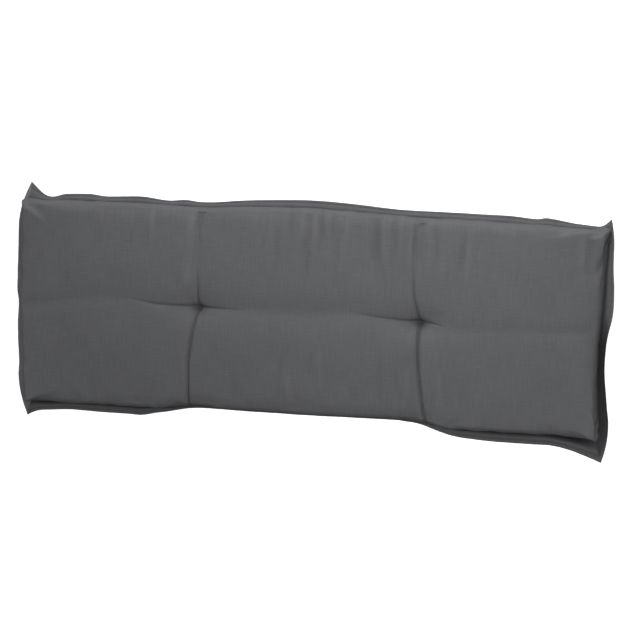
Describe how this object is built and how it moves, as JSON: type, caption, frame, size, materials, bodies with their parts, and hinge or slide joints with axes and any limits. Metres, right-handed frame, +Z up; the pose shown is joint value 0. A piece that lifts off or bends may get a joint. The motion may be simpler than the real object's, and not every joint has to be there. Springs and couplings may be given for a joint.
{
  "type": "bench cushion",
  "caption": "Flat oblong bench cushion with rolled edges, tufted dips with creases on its centre line and a flat stitched edge flange with pointed corners.",
  "frame": {"origin": "middle of the outline in plan, on the surface that the cushion lies on", "axes": "+X along the length, +Y to the long side that is uppermost in the picture, +Z up out of the front panel"},
  "size_m": [1.209, 0.502, 0.0807],
  "materials": {
    "pad_fabric": "dull dark grey plain weave",
    "flange_fabric": "dull dark grey plain weave, top-stitched near the edge"
  },
  "bodies": {
    "root": {"cushion": "pad_fabric", "edge_flange": "flange_fabric"}
  },
  "joints": []
}
